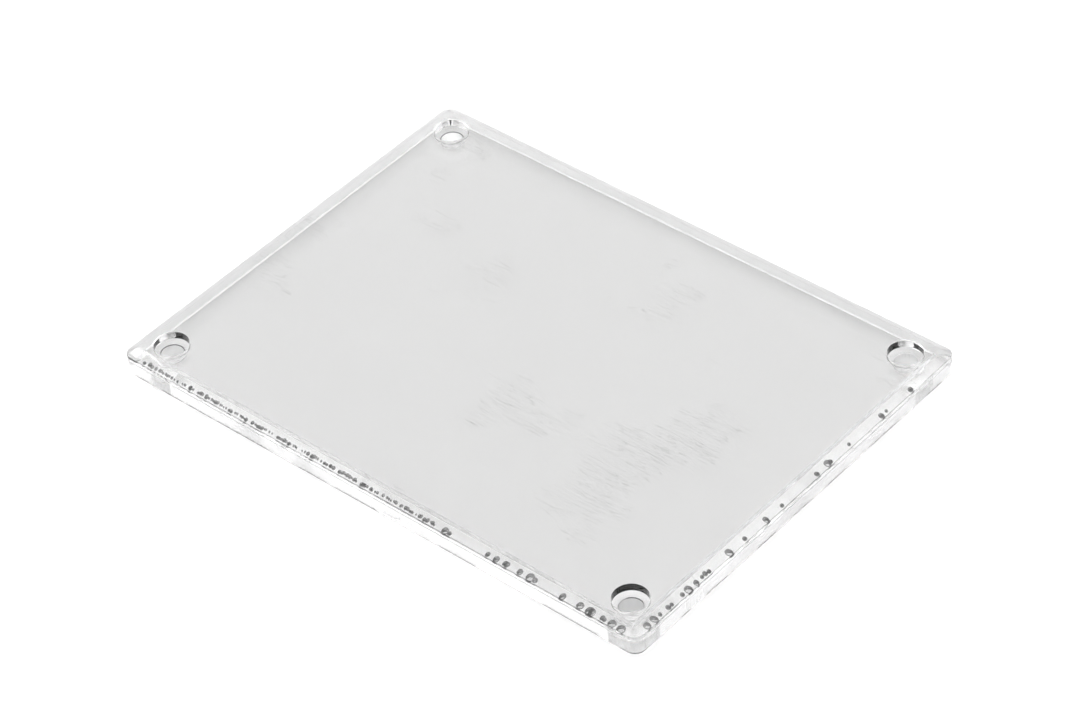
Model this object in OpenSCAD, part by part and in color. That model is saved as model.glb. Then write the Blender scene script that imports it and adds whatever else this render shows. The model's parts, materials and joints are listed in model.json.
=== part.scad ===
// Negative carrier: two clear acrylic sheets that hold film flat between them.
// The cover sheet lies on a thin rim of clear seal strips and lifts straight off the base sheet.
// The origin is on the underside at the centre, +X runs along the long side and +Z is up.

/* [Hole pattern] */
// Distance between hole centres along the long side
hole_pitch_x = 100; // [60:0.5:160]
// Distance between hole centres along the short side
hole_pitch_y = 71; // [50:0.5:120]
// Diameter of the holes through the base sheet
base_hole_d = 4; // [3:0.1:5]
// Diameter of the holes through the cover sheet, which clear a screw head
cover_hole_d = 6.1; // [5.5:0.1:7]

/* [Sheets] */
// Distance from the hole centres to the outer side faces
edge_margin = 6; // [5.5:0.1:10]
// Thickness of the base sheet
base_t = 3; // [2:0.1:6]
// Thickness of the cover sheet
cover_t = 1.5; // [1.5:0.1:4]
// Radius of the upright corners
corner_r = 2; // [1:0.1:5]

/* [Edges] */
// Width of the cover's sloping edge, seen from above
bevel_w = 1.9; // [0.5:0.1:2.5]
// Height of the cover's sloping edge
bevel_h = 1.1; // [0.3:0.1:1.3]
// Width and height of the small chamfer round the underside of the base sheet
base_chamfer = 0.3; // [0.1:0.1:0.8]

/* [Seal rim] */
// Thickness of the seal strips, which is the room left for film
seal_t = 0.5; // [0.1:0.05:0.6]
// Width of each seal strip
seal_w = 2.6; // [1:0.1:2.8]
// Distance from the outer side faces to the seal strips
seal_inset = 0.1; // [0.1:0.1:0.8]

/* [Hidden] */
$fn = 96;

plate_l = hole_pitch_x + 2 * edge_margin;
plate_w = hole_pitch_y + 2 * edge_margin;
cover_z = base_t + seal_t;          // underside of the cover sheet
past = 1;                           // how far a cutter reaches past a face

// Flat sheet with round upright corners, its underside at height 0 and its sides moved inwards by inset
module rounded_sheet(t, inset = 0) {
    linear_extrude(t) union() {
        square([plate_l - 2 * corner_r, plate_w - 2 * inset], center = true);
        square([plate_l - 2 * inset, plate_w - 2 * corner_r], center = true);
        for (x = [-1, 1], y = [-1, 1])
            translate([x * (plate_l / 2 - corner_r), y * (plate_w / 2 - corner_r)])
                circle(r = corner_r - inset);
    }
}

// Side view of a sheet whose edge slopes inwards by run over rise, at its top or its underside
module edge_profile(size, t, run, rise, at_top) {
    low = at_top ? 0 : run;
    high = at_top ? run : 0;
    polygon([
        [-size / 2 + low, 0],
        [size / 2 - low, 0],
        [size / 2, at_top ? t - rise : rise],
        [size / 2 - high, t],
        [-size / 2 + high, t],
        [-size / 2, at_top ? t - rise : rise],
    ]);
}

// Sheet with all four edges sloped, so that the slopes meet in sharp mitres
module sloped_sheet(t, run, rise, at_top) {
    intersection() {
        rounded_sheet(t);
        rotate([90, 0, 0])
            linear_extrude(plate_w + 2 * past, center = true)
                edge_profile(plate_l, t, run, rise, at_top);
        rotate([90, 0, 90])
            linear_extrude(plate_l + 2 * past, center = true)
                edge_profile(plate_w, t, run, rise, at_top);
    }
}

// Four upright drills at the corners of the hole pattern
module corner_drills(d, t) {
    for (x = [-1, 1], y = [-1, 1])
        translate([x * hole_pitch_x / 2, y * hole_pitch_y / 2, -past])
            cylinder(d = d, h = t + 2 * past);
}

// One seal strip on top of the base sheet, with mitred ends that follow the round corners. side_l is the
// length of its side, reach is the distance from the centre to that side and turn brings the strip round to it
module seal_strip(side_l, reach, turn) {
    inner = side_l / 2 - seal_inset - seal_w;
    color("whitesmoke", 0.5)
        translate([0, 0, base_t])
            intersection() {
                rounded_sheet(seal_t, seal_inset);
                rotate([0, 0, turn])
                    linear_extrude(seal_t)
                        polygon([
                            [-side_l / 2, -reach],
                            [side_l / 2, -reach],
                            [inner, seal_inset + seal_w - reach],
                            [-inner, seal_inset + seal_w - reach],
                        ]);
            }
}

module base_plate() {
    color("gainsboro", 0.4)
        difference() {
            sloped_sheet(base_t, base_chamfer, base_chamfer, false);
            corner_drills(base_hole_d, base_t);
        }
}

module cover_plate() {
    color("aliceblue", 0.4)
        translate([0, 0, cover_z])
            difference() {
                sloped_sheet(cover_t, bevel_w, bevel_h, true);
                corner_drills(cover_hole_d, cover_t);
            }
}

module front_seal_strip() {
    seal_strip(plate_l, plate_w / 2, 0);
}

module back_seal_strip() {
    seal_strip(plate_l, plate_w / 2, 180);
}

module left_seal_strip() {
    seal_strip(plate_w, plate_l / 2, 270);
}

module right_seal_strip() {
    seal_strip(plate_w, plate_l / 2, 90);
}

base_plate();
cover_plate();
front_seal_strip();
back_seal_strip();
left_seal_strip();
right_seal_strip();
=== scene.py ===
import json
import math

import bpy
from mathutils import Matrix, Vector, geometry, noise


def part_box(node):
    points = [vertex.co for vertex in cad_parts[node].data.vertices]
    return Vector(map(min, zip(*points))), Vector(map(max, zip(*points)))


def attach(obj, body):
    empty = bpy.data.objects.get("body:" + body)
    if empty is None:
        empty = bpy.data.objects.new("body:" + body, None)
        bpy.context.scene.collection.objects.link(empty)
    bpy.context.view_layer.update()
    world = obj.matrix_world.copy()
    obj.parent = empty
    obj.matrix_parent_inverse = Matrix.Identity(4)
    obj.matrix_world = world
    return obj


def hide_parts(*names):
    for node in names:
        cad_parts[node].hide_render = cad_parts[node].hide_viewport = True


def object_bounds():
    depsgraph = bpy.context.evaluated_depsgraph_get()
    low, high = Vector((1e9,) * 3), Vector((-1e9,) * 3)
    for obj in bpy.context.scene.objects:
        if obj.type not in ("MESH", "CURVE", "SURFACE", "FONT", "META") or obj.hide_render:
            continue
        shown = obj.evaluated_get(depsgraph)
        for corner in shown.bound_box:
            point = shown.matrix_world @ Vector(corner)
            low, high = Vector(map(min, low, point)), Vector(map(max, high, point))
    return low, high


mm = 0.001
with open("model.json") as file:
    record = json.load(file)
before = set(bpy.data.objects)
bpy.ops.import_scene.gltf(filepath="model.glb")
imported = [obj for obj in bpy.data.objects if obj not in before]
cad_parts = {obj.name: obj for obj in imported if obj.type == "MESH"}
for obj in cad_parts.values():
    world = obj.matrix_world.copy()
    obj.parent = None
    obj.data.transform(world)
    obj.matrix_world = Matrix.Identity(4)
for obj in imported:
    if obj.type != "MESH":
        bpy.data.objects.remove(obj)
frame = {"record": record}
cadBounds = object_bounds()
scene = bpy.context.scene
print("frame loaded")

# where the camera stands and what lens it has
camera = {
    "azimuth": 43.8, "elevation": 41.45, "roll": 4.9,  # degrees
    "distance": 666.6 * mm, "lens": 134.0, "sensor": 36.0,
    "shiftRight": 0.78 * mm, "shiftDown": -1.89 * mm,  # places the middle of the top face in view
}


def addCamera():
    az, el, roll = (math.radians(camera[k]) for k in ("azimuth", "elevation", "roll"))
    back = Vector((math.sin(az) * math.cos(el), -math.cos(az) * math.cos(el), math.sin(el)))
    right = (-back).cross(Vector((0, 0, 1))).normalized()
    down = (-back).cross(right)
    rolledRight = right * math.cos(roll) + down * math.sin(roll)
    rolledDown = down * math.cos(roll) - right * math.sin(roll)
    target = Vector((0, 0, cadBounds[1][2]))
    place = target + back * camera["distance"]
    place += rolledRight * camera["shiftRight"] - rolledDown * camera["shiftDown"]
    data = bpy.data.cameras.new("studioCamera")
    data.sensor_width = camera["sensor"]
    data.lens = camera["lens"]
    data.clip_start = 0.01
    obj = bpy.data.objects.new("studioCamera", data)
    scene.collection.objects.link(obj)
    turn = Matrix((rolledRight, -rolledDown, back)).transposed().to_4x4()
    turn.translation = place
    obj.matrix_world = turn
    scene.camera = obj


addCamera()
print("camera placed")

# sizes read from the frame
coverLow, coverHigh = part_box("cover_plate")
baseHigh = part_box("base_plate")[1]
sealLow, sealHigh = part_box("front_seal_strip")
mounts = {m["name"]: m["dims"] for m in frame["record"]["mounts"]}
holeX = mounts["base_screw_holes"]["spacing_x_mm"] * mm / 2
holeY = mounts["base_screw_holes"]["spacing_y_mm"] * mm / 2
baseHoleR = mounts["base_screw_holes"]["hole_r_mm"] * mm
coverHoleR = mounts["cover_holes"]["hole_r_mm"] * mm
halfX, halfY = coverHigh.x, coverHigh.y
sealWidth = sealHigh.y - sealLow.y
sealInset = sealLow.y + halfY

# clear plastic, the glue in the seam, and the walls of its bubbles, painted near black as the shade of their
# dark outlines
plastic = {
    "index": 1.49, "tint": 0.86, "wallShadeColor": (0.004, 0.004, 0.004, 1),
    "coverAbsorb": 32.0, "baseAbsorb": 0.5,  # light taken away per metre of plastic
    "speckScale": 260.0, "speckSize": 0.045, "speckFloor": 0.4,
    "scratchScale": 90.0, "scratchStretch": 14.0, "scratchWidth": 0.01, "scratchPatch": 0.62,
    "scratchTone": 0.4,
    "markColor": (0.1, 0.1, 0.1, 1), "markTone": 0.5, "markRough": 0.35,
    # painted shade: a near-black colour laid on the faces marked for it, in streaks or all over
    "paintedShadeColor": (0.04, 0.04, 0.04, 1), "paintedShadeScale": 160.0, "paintedShadeShare": 0.47, "paintedShadeEdge": 12.0,
}


def principled(name, color, rough, ior, transmission):
    mat = bpy.data.materials.new(name)
    mat.use_nodes = True
    shader = mat.node_tree.nodes["Principled BSDF"]
    shader.inputs["Base Color"].default_value = color
    shader.inputs["Roughness"].default_value = rough
    shader.inputs["IOR"].default_value = ior
    shader.inputs["Transmission Weight"].default_value = transmission
    return mat, mat.node_tree, shader


def joinNodes(tree, kind, *values, **settings):  # a node with its first inputs linked or set
    node = tree.nodes.new(kind)
    for key, value in settings.items():
        setattr(node, key, value)
    for value, socket in zip(values, node.inputs):
        if hasattr(value, "is_output"):
            tree.links.new(value, socket)
        elif value is not None:
            socket.default_value = value
    return node


def shaderMath(tree, operation, *values, clamp=False):
    return joinNodes(tree, "ShaderNodeMath", *values, operation=operation, use_clamp=clamp).outputs[0]


def marksAndPaintedShade():  # dust specks, hairline scratches, and painted shade as dark streaks or all over, shared by every clear piece
    tree = bpy.data.node_groups.new("marksAndPaintedShade", "ShaderNodeTree")
    for name, kind in (("Specks", "Float"), ("Scratches", "Float"), ("Turn", "Vector"), ("Painted Shade", "Float"),
                       ("Clean Color", "Color"), ("Clean Roughness", "Float")):
        tree.interface.new_socket(name, in_out="INPUT", socket_type="NodeSocket" + kind)
    tree.interface.new_socket("Color", in_out="OUTPUT", socket_type="NodeSocketColor")
    tree.interface.new_socket("Roughness", in_out="OUTPUT", socket_type="NodeSocketFloat")
    given = tree.nodes.new("NodeGroupInput").outputs
    result = tree.nodes.new("NodeGroupOutput").inputs
    place = tree.nodes.new("ShaderNodeTexCoord").outputs["Object"]
    cells = joinNodes(tree, "ShaderNodeTexVoronoi", place)
    cells.inputs["Scale"].default_value = plastic["speckScale"]
    chance = joinNodes(tree, "ShaderNodeSeparateColor", cells.outputs["Color"]).outputs[0]
    few = shaderMath(tree, "LESS_THAN", chance, given["Specks"])
    grown = shaderMath(tree, "ADD", chance, plastic["speckFloor"])
    size = shaderMath(tree, "MULTIPLY", grown, plastic["speckSize"])
    near = shaderMath(tree, "LESS_THAN", cells.outputs["Distance"], size)
    speck = shaderMath(tree, "MULTIPLY", near, few)
    turned = joinNodes(tree, "ShaderNodeMapping", place)
    tree.links.new(given["Turn"], turned.inputs["Rotation"])
    turned.inputs["Scale"].default_value = (1, plastic["scratchStretch"], 1)
    hair = joinNodes(tree, "ShaderNodeTexNoise", turned.outputs[0])
    hair.inputs["Scale"].default_value = plastic["scratchScale"]
    hair.inputs["Detail"].default_value = 1.0
    line = shaderMath(tree, "ABSOLUTE", shaderMath(tree, "SUBTRACT", hair.outputs[0], 0.5))
    width = shaderMath(tree, "MULTIPLY", given["Scratches"], plastic["scratchWidth"])
    thin = shaderMath(tree, "LESS_THAN", line, width)
    patch = joinNodes(tree, "ShaderNodeTexNoise", place)
    patch.inputs["Scale"].default_value = plastic["scratchScale"] / 2
    rubbed = shaderMath(tree, "GREATER_THAN", patch.outputs[0], plastic["scratchPatch"])
    scratch = shaderMath(tree, "MULTIPLY", shaderMath(tree, "MULTIPLY", thin, rubbed), plastic["scratchTone"])
    marks = shaderMath(tree, "ADD", speck, scratch, clamp=True)
    dull = joinNodes(tree, "ShaderNodeMix", data_type="RGBA", blend_type="MULTIPLY")
    tree.links.new(shaderMath(tree, "MULTIPLY", marks, plastic["markTone"]), dull.inputs[0])
    tree.links.new(given["Clean Color"], dull.inputs[6])
    dull.inputs[7].default_value = plastic["markColor"]
    streak = joinNodes(tree, "ShaderNodeTexNoise", place)
    streak.inputs["Scale"].default_value = plastic["paintedShadeScale"]
    broken = shaderMath(tree, "SUBTRACT", streak.outputs[0], plastic["paintedShadeShare"])
    broken = shaderMath(tree, "MULTIPLY", broken, plastic["paintedShadeEdge"])
    more = shaderMath(tree, "SUBTRACT", given["Painted Shade"], 1.0)  # a painted shade of 1 comes in dark streaks, of 2 all over
    broken = shaderMath(tree, "ADD", broken, more, clamp=True)
    where = shaderMath(tree, "MINIMUM", given["Painted Shade"], 1.0)
    paintedShadeMix = joinNodes(tree, "ShaderNodeMix", data_type="RGBA")
    tree.links.new(shaderMath(tree, "MULTIPLY", broken, where), paintedShadeMix.inputs[0])
    tree.links.new(dull.outputs[2], paintedShadeMix.inputs[6])
    paintedShadeMix.inputs[7].default_value = plastic["paintedShadeColor"]
    tree.links.new(paintedShadeMix.outputs[2], result["Color"])
    extra = shaderMath(tree, "MULTIPLY", marks, plastic["markRough"])
    tree.links.new(shaderMath(tree, "ADD", given["Clean Roughness"], extra, clamp=True), result["Roughness"])
    return tree


marksAndShadeGroup = marksAndPaintedShade()


def clearPlastic(name, tint, absorb=0.0, specks=0.0, scratches=0.0, turn=0.0):
    tone = (tint, tint, tint, 1)
    mat, tree, shader = principled(name, tone, 0.0, plastic["index"], 1.0)
    # what each face is marked with
    matt, bonded, paintedShade = (joinNodes(tree, "ShaderNodeAttribute", attribute_name=key).outputs["Fac"]
                           for key in ("matt", "bonded", "paintedShade"))
    outside = shaderMath(tree, "SUBTRACT", 1.0, tree.nodes.new("ShaderNodeNewGeometry").outputs["Backfacing"])
    marks = tree.nodes.new("ShaderNodeGroup")
    marks.node_tree = marksAndShadeGroup
    values = {"Specks": specks, "Scratches": scratches, "Turn": (0, 0, turn), "Clean Color": tone}
    for key, value in values.items():
        marks.inputs[key].default_value = value
    # the painted shade shows only on faces seen from outside
    tree.links.new(shaderMath(tree, "MULTIPLY", paintedShade, outside), marks.inputs["Painted Shade"])
    tree.links.new(matt, marks.inputs["Clean Roughness"])
    tree.links.new(marks.outputs["Color"], shader.inputs["Base Color"])
    tree.links.new(marks.outputs["Roughness"], shader.inputs["Roughness"])
    # a bonded face is wet with glue of the plastic's own index, so light crosses it straight
    tree.links.new(shaderMath(tree, "SUBTRACT", 1.0, bonded, clamp=True), shader.inputs["Alpha"])
    if absorb:
        volume = tree.nodes.new("ShaderNodeVolumeAbsorption")
        volume.inputs["Color"].default_value = (0, 0, 0, 1)
        volume.inputs["Density"].default_value = absorb
        tree.links.new(volume.outputs[0], tree.nodes["Material Output"].inputs["Volume"])
    return mat


tint = plastic["tint"]
coverAcrylic = clearPlastic("coverAcrylic", tint, plastic["coverAbsorb"], specks=0.35, scratches=1, turn=0.5)
baseAcrylic = clearPlastic("baseAcrylic", tint, plastic["baseAbsorb"], specks=0.25, scratches=0.8, turn=1.9)
sealGlue = clearPlastic("sealGlue", 0.99, specks=0.1)
# near-black bubble walls: painted shade for the dark outline round each bubble
bubbleWallShade = principled("bubbleWallShade", plastic["wallShadeColor"], 0.0, plastic["index"], 1.0)[0]
print("materials made")

# both sheets: a rounded outline swept by an edge profile, with rounded-over bores
sheet = {
    "cornerRadius": 2.0 * mm, "sharpest": 0.02 * mm, "cornerSteps": 12, "step": 0.7 * mm,
    "rimRound": 0.12 * mm, "boreSides": 96, "roundSteps": 6, "sideMatt": 0.2, "sameSpot": 1e-9,
    "uprightTilt": 0.1, "rimShare": 0.999,
}
cover = {
    "bevelWidth": 1.9 * mm, "bevelHeight": 1.1 * mm, "flatFrom": 2.6 * mm,
    "topEdgeRound": 0.8 * mm, "ridgeRound": 0.12 * mm, "lowerEdgeRound": 0.08 * mm, "boreMatt": 0.0,
}
base = {
    "chamfer": 0.3 * mm, "flatFrom": 1.0 * mm, "topRound": 0.08 * mm, "chamferRound": 0.15 * mm,
    # the height up to which the base's sides carry painted shade
    "boreMatt": 1.0, "paintedShadeTop": 0.6 * mm,
}
ridge = coverHigh.z - cover["bevelHeight"]


def outline(inset, z):  # points round the sheet, each with its outward direction and the lean of its slope
    corner = sheet["cornerRadius"]
    shrink = corner / cover["bevelWidth"] if z > ridge else 1.0  # the slope's corners run to a sharp mitre
    radius = max(corner - inset * shrink, sheet["sharpest"])
    lx, ly = halfX - inset - radius, halfY - inset - radius
    sideSteps = (int(2 * halfX / sheet["step"]), int(2 * halfY / sheet["step"]))
    points = []
    corners = ((lx, ly), (-lx, ly), (-lx, -ly), (lx, -ly))
    for k, (cx, cy) in enumerate(corners):
        steps = sideSteps[k % 2]
        for i in range(sheet["cornerSteps"] + 1):
            a = math.radians(90 * k + 90 * i / sheet["cornerSteps"])
            d = Vector((math.cos(a), math.sin(a)))
            lean = shrink - (shrink - 1) * (abs(d.x) + abs(d.y))
            points.append((Vector((cx, cy)) + d * radius, d, lean))
        here, d, lean = points[-1]
        there = Vector(corners[(k + 1) % 4]) + d * radius
        points += [(here.lerp(there, i / steps), d, 1.0) for i in range(1, steps)]
    return points


def rounded(path, radii):  # profile of (inset, height) and its normal, with an arc at each inner point
    result = []
    steps = sheet["roundSteps"]
    for i in range(1, len(path) - 1):
        p = Vector(path[i])
        before, after = (Vector(path[i - 1]) - p).normalized(), (Vector(path[i + 1]) - p).normalized()
        half = before.angle(after) / 2
        radius = radii[i - 1]
        centre = p + (before + after).normalized() * radius / math.sin(half)
        first = (p + before * radius / math.tan(half) - centre).normalized()
        last = (p + after * radius / math.tan(half) - centre).normalized()
        for k in range(steps + 1):
            arm = first.slerp(last, k / steps)
            result.append((centre + arm * radius, arm))
    return result


def withTilt(path, radii):  # the profile from the flat underside round to the flat top
    points = [(*path[0], (0, -1))]
    points += [(p.x, p.y, (-n.x, n.y)) for p, n in rounded(path, radii)]
    points.append((*path[-1], (0, 1)))
    return points


def bore(radius, low, high):  # rings of a drilled hole from its top rim to its lower rim
    r = sheet["rimRound"]
    steps = sheet["roundSteps"]
    turns = [math.pi / 2 * k / steps for k in range(steps + 1)]
    waves = [(math.sin(a), math.cos(a)) for a in turns]
    rings = [(radius + r * (1 - sin), high - r * (1 - cos), (-sin, cos)) for sin, cos in waves]
    rings += [(radius + r * (1 - cos), low + r * (1 - sin), (-cos, -sin)) for sin, cos in waves]
    return rings


def buildSheet(name, material, profile, boreRadius, boreMatt, low, high, bondRing, ragged=None, paintedShadeTop=0.0):
    verts, normals, faces = [], [], []
    matt, bonded, paintedShade = [], [], []  # how each face is finished

    def addRing(points, z, tilt):  # tilt is the normal's outward and upward parts
        first = len(verts)
        for p, d, lean in points:
            verts.append((p.x, p.y, z))
            normals.append(Vector((d.x * tilt[0], d.y * tilt[0], tilt[1] * lean)).normalized())
        return list(range(first, len(verts)))

    def bridge(a, b, rough, bond, shadeLevel):
        n = len(a)
        for i in range(n):
            faces.append((a[i], a[(i + 1) % n], b[(i + 1) % n], b[i]))
            matt.append(rough)
            x, y = verts[a[i]][:2]
            wet = bond and x / halfX - y / halfY > 0  # the glue has wetted the front and right sides
            bonded.append(1.0 if wet else 0.0)
            paintedShade.append(shadeLevel)

    def cap(outer, holes, flip):
        loops = [outer] + holes
        flat = [i for loop in loops for i in loop]
        edges = []
        for loop in loops:
            first = len(edges)
            edges += [(first + k, first + (k + 1) % len(loop)) for k in range(len(loop))]
        spots = [Vector(verts[i][:2]) for i in flat]
        # a hair less than the rim's radius, because the rim is made of straight edges
        rim = (boreRadius + sheet["rimRound"]) * sheet["rimShare"]
        insideOnly = 1
        triangles, sources = geometry.delaunay_2d_cdt(spots, edges, [], insideOnly, sheet["sameSpot"])[2:4]
        for triangle in triangles:
            ids = [flat[sources[t][0]] for t in triangle]
            middle = sum((Vector(verts[i]) for i in ids), Vector()) / 3
            if math.hypot(abs(middle.x) - holeX, abs(middle.y) - holeY) < rim:
                continue
            a, b, c = (Vector(verts[i]) for i in ids)
            if ((b - a).cross(c - a).z > 0) == flip:
                ids.reverse()
            faces.append(tuple(ids))
            matt.append(0.0)
            bonded.append(0.0)
            paintedShade.append(0.0)

    rings = []
    for inset, z, tilt in profile:
        points = outline(inset, z)
        if ragged:
            points = [(p - d * ragged(p, z), d, lean) for p, d, lean in points]
        rings.append(addRing(points, z, tilt))
    for k, (a, b) in enumerate(zip(rings, rings[1:])):
        upright = all(abs(profile[i][2][1]) < sheet["uprightTilt"] for i in (k, k + 1))
        # painted shade in dark streaks along the foot of the upright sides
        shadedHere = upright and profile[k + 1][1] <= paintedShadeTop
        bridge(a, b, sheet["sideMatt"] if upright else 0.0, k == bondRing, 1.0 if shadedHere else 0.0)
    topHoles, lowHoles = [], []
    angles = [2 * math.pi * i / sheet["boreSides"] for i in range(sheet["boreSides"])]
    spokes = [Vector((math.cos(a), math.sin(a))) for a in angles]
    for sx, sy in ((-1, -1), (1, -1), (1, 1), (-1, 1)):
        centre = Vector((sx * holeX, sy * holeY))
        loops = [addRing([(centre + d * r, d, 1.0) for d in spokes], z, tilt)
                 for r, z, tilt in bore(boreRadius, low, high)]
        for k, (a, b) in enumerate(zip(loops, loops[1:])):
            # the upper rim of each base bore is painted dark all over, painted shade that thickens the dark
            # crescent in the holes
            shadedHere = paintedShadeTop and k < sheet["roundSteps"]
            bridge(a, b, boreMatt, False, 2.0 if shadedHere else 0.0)
        topHoles.append(loops[0])
        lowHoles.append(loops[-1])
    cap(rings[-1], topHoles, False)
    cap(rings[0], lowHoles, True)
    mesh = bpy.data.meshes.new(name)
    mesh.from_pydata(verts, [], faces)
    mesh.materials.append(material)
    for key, values in (("matt", matt), ("bonded", bonded), ("paintedShade", paintedShade)):
        mesh.attributes.new(key, "FLOAT", "FACE").data.foreach_set("value", values)
    mesh.polygons.foreach_set("use_smooth", [True] * len(faces))
    mesh.normals_split_custom_set_from_vertices(normals)
    obj = bpy.data.objects.new(name, mesh)
    scene.collection.objects.link(obj)
    return obj


coverPath = [(sealInset, coverLow.z), (0, coverLow.z), (0, ridge), (cover["bevelWidth"], coverHigh.z),
             (cover["flatFrom"], coverHigh.z)]
coverProfile = [(sealInset + sealWidth, coverLow.z, (0, -1))]
coverProfile += withTilt(coverPath, [cover["lowerEdgeRound"], cover["ridgeRound"], cover["topEdgeRound"]])
coverSheet = buildSheet("coverSheet", coverAcrylic, coverProfile, coverHoleR, cover["boreMatt"], coverLow.z,
                        coverHigh.z, bondRing=0)
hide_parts("cover_plate")
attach(coverSheet, "cover")


# small chips along the sawn lower edge, none above a third of the sheet
chips = {
    "top": 1.0 * mm, "depth": 0.25 * mm, "coarse": 0.9 * mm, "fine": 0.45 * mm, "fineShare": 0.6,
    "fineLayer": 7.0 * mm, "cutoff": 0.25,
}


def chippedEdge(p, z):
    fade = max(0.0, 1 - z / chips["top"])
    chip = noise.noise(Vector((p.x, p.y, 0)) / chips["coarse"])
    chip += chips["fineShare"] * noise.noise(Vector((p.x, p.y, chips["fineLayer"])) / chips["fine"])
    return max(0.0, chip - chips["cutoff"]) * chips["depth"] * fade


basePath = [(base["flatFrom"], 0), (base["chamfer"], 0), (0, base["chamfer"]), (0, baseHigh.z),
            (sealInset, baseHigh.z)]
baseProfile = withTilt(basePath, [base["chamferRound"], base["chamferRound"], base["topRound"]])
sideStart = next(k for k, ring in enumerate(baseProfile) if round(ring[2][0], 3) == 1)  # first upright ring
# an extra ring at the top of the painted shade band
baseProfile.insert(sideStart + 1, (0, base["paintedShadeTop"], (1, 0)))
baseProfile.append((sealInset + sealWidth, baseHigh.z, (0, 1)))
baseSheet = buildSheet("baseSheet", baseAcrylic, baseProfile, baseHoleR, base["boreMatt"], 0, baseHigh.z,
                       bondRing=len(baseProfile) - 2, ragged=chippedEdge, paintedShadeTop=base["paintedShadeTop"])
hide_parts("base_plate")
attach(baseSheet, "base")
print("sheets built")


# the front and right strips are glued to both sheets, the other two lie dry between them
seal = {"dryGap": 0.01 * mm, "dryMatt": 0.5, "arcSteps": 6}


def sealStrip(name, turn, reach, sideLength, wet):
    corner = sheet["cornerRadius"]
    gap = 0.0 if wet else seal["dryGap"]
    arcMiddle = sideLength / 2 - corner
    outer = []
    for k in range(-seal["arcSteps"], seal["arcSteps"] + 1):  # half of each rounded corner, up to its mitre
        if k == 0:
            outer += [(-arcMiddle, sealInset - reach), (arcMiddle, sealInset - reach)]
            continue
        a = math.radians(45 * k / seal["arcSteps"])
        x = math.copysign(arcMiddle, k) + (corner - sealInset) * math.sin(a)
        outer.append((x, corner - reach - (corner - sealInset) * math.cos(a)))
    inner = sideLength / 2 - sealInset - sealWidth
    y = sealInset + sealWidth - reach
    shape = outer + [(inner, y), (-inner, y)]
    n = len(shape)
    rot = Matrix.Rotation(math.radians(turn), 3, "Z")
    verts = [rot @ Vector((x, y, z)) for z in (baseHigh.z + gap, coverLow.z - gap) for x, y in shape]
    faces = [tuple(reversed(range(n))), tuple(range(n, 2 * n))]
    faces += [(i, (i + 1) % n, n + (i + 1) % n, n + i) for i in range(n)]
    bonded = [1.0 if wet else 0.0] * 2
    bonded += [1.0 if i in (n - 3, n - 1) else 0.0 for i in range(n)]  # the mitres are always bonded
    mesh = bpy.data.meshes.new(name)
    mesh.from_pydata(verts, [], faces)
    mesh.materials.append(sealGlue)
    mesh.attributes.new("bonded", "FLOAT", "FACE").data.foreach_set("value", bonded)
    matt = [0.0 if wet else seal["dryMatt"]] * len(faces)
    mesh.attributes.new("matt", "FLOAT", "FACE").data.foreach_set("value", matt)
    obj = bpy.data.objects.new(name, mesh)
    scene.collection.objects.link(obj)
    return obj


# air bubbles trapped in the seal, scattered along runs of each strip
bubbles = {
    "height": 0.18 * mm, "sides": 14, "bulge": 0.12, "turn": 0.35, "stretch": (0.9, 1.5), "widest": 0.8 * mm,
    "slide": 0.45, "scatter": 0.12 * mm, "smallMore": 1.4, "seed": 11, "seedStep": 7,
    "inset": {"front": 1.1 * mm, "right": 1.1 * mm, "back": 1.5 * mm, "left": 1.5 * mm},
    # each run: from and to as parts of the side, count, smallest and largest half width, share missing
    "runs": {
        "front": [(0.04, 0.62, 130, 0.14 * mm, 0.36 * mm, 0.15),
                  (0.62, 0.965, 30, 0.3 * mm, 0.75 * mm, 0.2)],
        "right": [(0.05, 0.22, 11, 0.3 * mm, 0.7 * mm, 0.15),
                  (0.22, 0.93, 30, 0.25 * mm, 0.7 * mm, 0.45)],
        "back": [(0.04, 0.96, 44, 0.03 * mm, 0.08 * mm, 0.3)],
        "left": [(0.04, 0.96, 34, 0.03 * mm, 0.08 * mm, 0.3)],
    },
}


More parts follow.
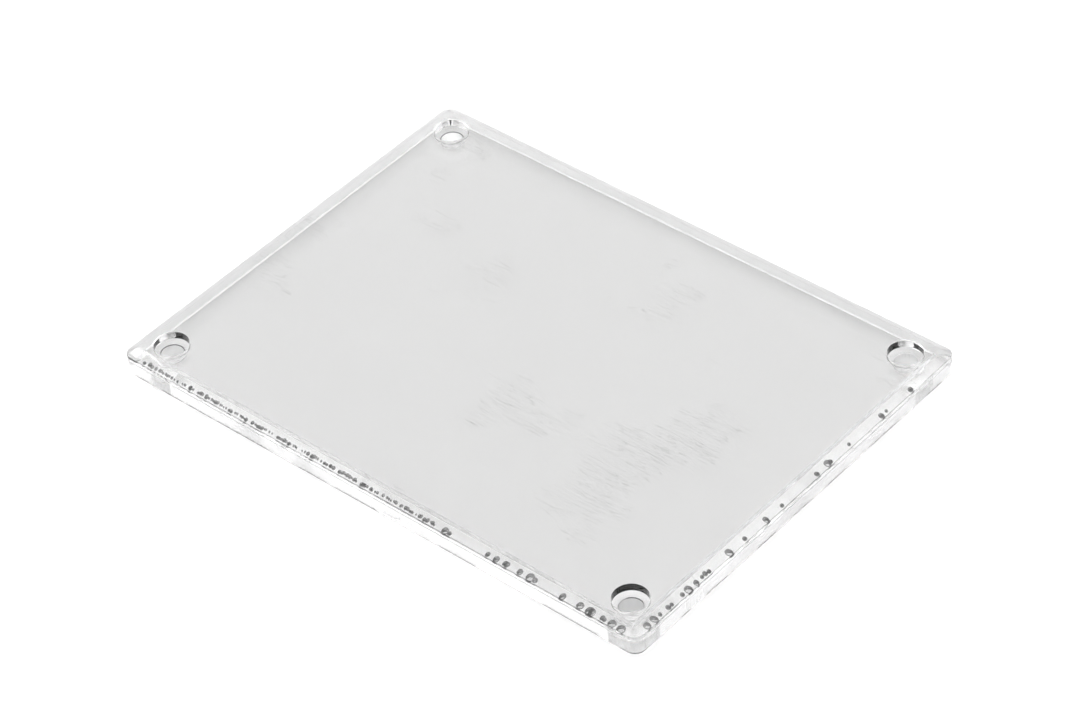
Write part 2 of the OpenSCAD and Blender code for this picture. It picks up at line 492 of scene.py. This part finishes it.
def bubbleTree():
    tree = bpy.data.node_groups.new("trappedBubbles", "GeometryNodeTree")
    tree.is_modifier = True
    sockets = [("Start", "Vector"), ("End", "Vector"), ("Count", "Int"), ("Seed", "Int"), ("Small", "Float"),
               ("Large", "Float"), ("Widest", "Float"), ("Missing", "Float"), ("Scatter", "Vector"),
               ("Height", "Float"), ("Stretch Low", "Float"), ("Stretch High", "Float"), ("Wobble", "Float"),
               ("Bulge", "Float"), ("Turn", "Float"), ("Wall Shade Material", "Material"),
               ("Cap Material", "Material")]
    for name, kind in sockets:
        tree.interface.new_socket(name, in_out="INPUT", socket_type="NodeSocket" + kind)
    tree.interface.new_socket("Geometry", in_out="OUTPUT", socket_type="NodeSocketGeometry")
    nodes, links = tree.nodes, tree.links
    given = nodes.new("NodeGroupInput").outputs
    result = nodes.new("NodeGroupOutput").inputs

    def randomValue(low, high, offset, kind="FLOAT"):
        node = joinNodes(tree, "FunctionNodeRandomValue", data_type=kind)
        add = joinNodes(tree, "FunctionNodeIntegerMath", given["Seed"], offset, operation="ADD")
        links.new(add.outputs[0], node.inputs["Seed"])
        lowSocket, highSocket, out = {"FLOAT": (2, 3, 1), "FLOAT_VECTOR": (0, 1, 0)}[kind]
        for value, socket in ((low, lowSocket), (high, highSocket)):
            if hasattr(value, "is_output"):
                links.new(value, node.inputs[socket])
            else:
                node.inputs[socket].default_value = value
        return node.outputs[out]

    def maths(operation, *values):
        return shaderMath(tree, operation, *values)

    line = joinNodes(tree, "GeometryNodeMeshLine", mode="END_POINTS")
    for key, socket in (("Count", "Count"), ("Start", "Start Location"), ("End", "Offset")):
        links.new(given[key], line.inputs[socket])
    lost = maths("LESS_THAN", randomValue(0.0, 1.0, 1), given["Missing"])
    keep = joinNodes(tree, "GeometryNodeDeleteGeometry", line.outputs[0], lost, domain="POINT")
    back = joinNodes(tree, "ShaderNodeVectorMath", given["Scatter"], operation="SCALE")
    back.inputs["Scale"].default_value = -1.0
    place = joinNodes(tree, "GeometryNodeSetPosition", keep.outputs[0])
    links.new(randomValue(back.outputs[0], given["Scatter"], 2, "FLOAT_VECTOR"), place.inputs["Offset"])
    drum = joinNodes(tree, "GeometryNodeMeshCylinder", fill_type="NGON")
    for key, value in (("Vertices", bubbles["sides"]), ("Side Segments", 2), ("Radius", 1.0), ("Depth", 2.0)):
        drum.inputs[key].default_value = value
    smooth = joinNodes(tree, "GeometryNodeSetShadeSmooth", drum.outputs["Mesh"], drum.outputs["Side"])
    spot = joinNodes(tree, "ShaderNodeSeparateXYZ", joinNodes(tree, "GeometryNodeInputPosition").outputs[0])
    waist = maths("SUBTRACT", 1.0, maths("ABSOLUTE", spot.outputs[2]))
    swell = maths("ADD", 1.0, maths("MULTIPLY", given["Bulge"], waist))
    wide = joinNodes(tree, "ShaderNodeCombineXYZ", maths("MULTIPLY", spot.outputs[0], swell),
                     maths("MULTIPLY", spot.outputs[1], swell), spot.outputs[2])
    body = joinNodes(tree, "GeometryNodeSetPosition", smooth.outputs[0], None, wide.outputs[0])
    marked = joinNodes(tree, "GeometryNodeStoreNamedAttribute", body.outputs[0], data_type="BOOLEAN",
                       domain="FACE")
    marked.inputs["Name"].default_value = "wall"
    links.new(drum.outputs["Side"], marked.inputs["Value"])
    spread = maths("SUBTRACT", given["Large"], given["Small"])
    larger = maths("POWER", randomValue(0.0, 1.0, 3), bubbles["smallMore"])
    width = maths("ADD", given["Small"], maths("MULTIPLY", spread, larger))
    deep = maths("MULTIPLY", width, randomValue(given["Stretch Low"], given["Stretch High"], 4))
    deep = maths("MINIMUM", deep, given["Widest"])
    size = joinNodes(tree, "ShaderNodeCombineXYZ", width, deep, given["Height"])
    wobble = joinNodes(tree, "ShaderNodeCombineXYZ", 0.0, 0.0,
                       randomValue(maths("MULTIPLY", given["Wobble"], -1.0), given["Wobble"], 5))
    copies = joinNodes(tree, "GeometryNodeInstanceOnPoints", place.outputs[0])
    for socket, value in (("Instance", marked), ("Rotation", wobble), ("Scale", size)):
        links.new(value.outputs[0], copies.inputs[socket])
    around = joinNodes(tree, "GeometryNodeTransform", copies.outputs[0])
    side = joinNodes(tree, "ShaderNodeCombineXYZ", 0.0, 0.0, given["Turn"])
    links.new(side.outputs[0], around.inputs["Rotation"])
    real = joinNodes(tree, "GeometryNodeRealizeInstances", around.outputs[0])
    inward = joinNodes(tree, "GeometryNodeFlipFaces", real.outputs[0])  # a hollow's faces look into its air
    caps = joinNodes(tree, "GeometryNodeSetMaterial", inward.outputs[0])
    links.new(given["Cap Material"], caps.inputs["Material"])
    # the side walls get the near-black painted shade material
    wall = joinNodes(tree, "GeometryNodeInputNamedAttribute", "wall", data_type="BOOLEAN")
    walls = joinNodes(tree, "GeometryNodeSetMaterial", caps.outputs[0], wall.outputs[0])
    links.new(given["Wall Shade Material"], walls.inputs["Material"])
    links.new(walls.outputs[0], result["Geometry"])
    return tree


bubbleNodes = bubbleTree()


def bubbleRun(run, inset, seed, turn, reach, sideLength):
    start, end, count, small, large, missing = run
    y = inset - reach
    z = (baseHigh.z + coverLow.z) / 2
    slide = bubbles["slide"] * (end - start) * sideLength / count
    values = {
        "Start": ((start - 0.5) * sideLength, y, z), "End": ((end - 0.5) * sideLength, y, z),
        "Count": count, "Missing": missing, "Seed": seed, "Scatter": (slide, bubbles["scatter"], 0),
        "Small": small, "Large": large, "Widest": bubbles["widest"], "Height": bubbles["height"],
        "Stretch Low": bubbles["stretch"][0], "Stretch High": bubbles["stretch"][1],
        "Wobble": bubbles["turn"], "Bulge": bubbles["bulge"], "Turn": math.radians(turn),
        "Wall Shade Material": bubbleWallShade, "Cap Material": sealGlue,
    }
    obj = bpy.data.objects.new("bubbleRun", bpy.data.meshes.new("bubbleRun"))
    scene.collection.objects.link(obj)
    grow = obj.modifiers.new("bubbles", "NODES")
    grow.node_group = bubbleNodes
    for item in bubbleNodes.interface.items_tree:
        if item.in_out == "INPUT":
            grow[item.identifier] = values[item.name]
    depsgraph = bpy.context.evaluated_depsgraph_get()
    mesh = bpy.data.meshes.new_from_object(obj.evaluated_get(depsgraph))
    bpy.data.objects.remove(obj)
    return mesh


def joinMeshes(name, obj, meshes):
    parts = [bpy.data.objects.new(name, m) for m in meshes]
    for part in parts:
        scene.collection.objects.link(part)
    with bpy.context.temp_override(active_object=obj, selected_editable_objects=[obj] + parts):
        bpy.ops.object.join()
    obj.name = name


stripSides = (("front", 0, halfY, 2 * halfX), ("right", 90, halfX, 2 * halfY),
              ("back", 180, halfY, 2 * halfX), ("left", 270, halfX, 2 * halfY))
for k, (side, turn, reach, length) in enumerate(stripSides):
    strip = sealStrip(side + "Seal", turn, reach, length, wet=side in ("front", "right"))
    seed = bubbles["seed"] + bubbles["seedStep"] * k
    runs = [bubbleRun(run, bubbles["inset"][side], seed + i, turn, reach, length)
            for i, run in enumerate(bubbles["runs"][side])]
    joinMeshes(side + "Seal", strip, runs)
    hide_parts(side + "_seal_strip")
    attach(strip, "base")
print("seal strips and bubbles built")

# table, soft light and how far light is followed through clear plastic
studio = {
    "table": 3.0, "clearance": 0.05 * mm, "tableColor": (0.9, 0.9, 0.9, 1), "tableRough": 0.5,
    "tableIndex": 1.45, "dark": 0.02, "exposure": 0.43, "bounces": 48,
    # azimuth clockwise from +Y, elevation, half width and soft edge in degrees, then each level
    "softBoxes": [(-104, 48, 34, 15, 2.0), (16, 48, 34, 15, 2.0), (136, 30, 25, 10, 1.0),
                  (-44, 38, 34, 14, 1.1), (90, 38, 34, 14, 1.1), (180, 38, 34, 14, 1.1)],
}
bpy.ops.mesh.primitive_plane_add(size=studio["table"], location=(0, 0, -studio["clearance"]))
table = bpy.context.object
table.name = "table"
paleTable = principled("paleTable", studio["tableColor"], studio["tableRough"], studio["tableIndex"], 0.0)[0]
table.data.materials.append(paleTable)

world = bpy.data.worlds.new("softRoom")
scene.world = world
world.use_nodes = True
room = world.node_tree
coords = room.nodes.new("ShaderNodeTexCoord")


def softBox(azimuth, elevation, width, soft, level):  # far away, as a bright patch of the room's walls
    az, el = math.radians(azimuth), math.radians(elevation)
    aim = (math.sin(az) * math.cos(el), math.cos(az) * math.cos(el), math.sin(el))
    dot = joinNodes(room, "ShaderNodeVectorMath", coords.outputs["Generated"], aim, operation="DOT_PRODUCT")
    edge = math.cos(math.radians(width))
    inner = math.cos(math.radians(width - soft))
    rise = shaderMath(room, "SUBTRACT", dot.outputs["Value"], edge)
    rise = shaderMath(room, "DIVIDE", rise, inner - edge, clamp=True)
    return shaderMath(room, "MULTIPLY", rise, level)


total = studio["dark"]
for patch in studio["softBoxes"]:
    total = shaderMath(room, "ADD", softBox(*patch), total)
background = room.nodes["Background"]
background.inputs["Color"].default_value = (1, 1, 1, 1)
room.links.new(total, background.inputs["Strength"])

scene.view_settings.view_transform = "Standard"
scene.view_settings.exposure = studio["exposure"]
scene.cycles.blur_glossy = 0.0
for key in ("max_bounces", "transmission_bounces", "glossy_bounces", "transparent_max_bounces"):
    setattr(scene.cycles, key, studio["bounces"])
print("table and light set")
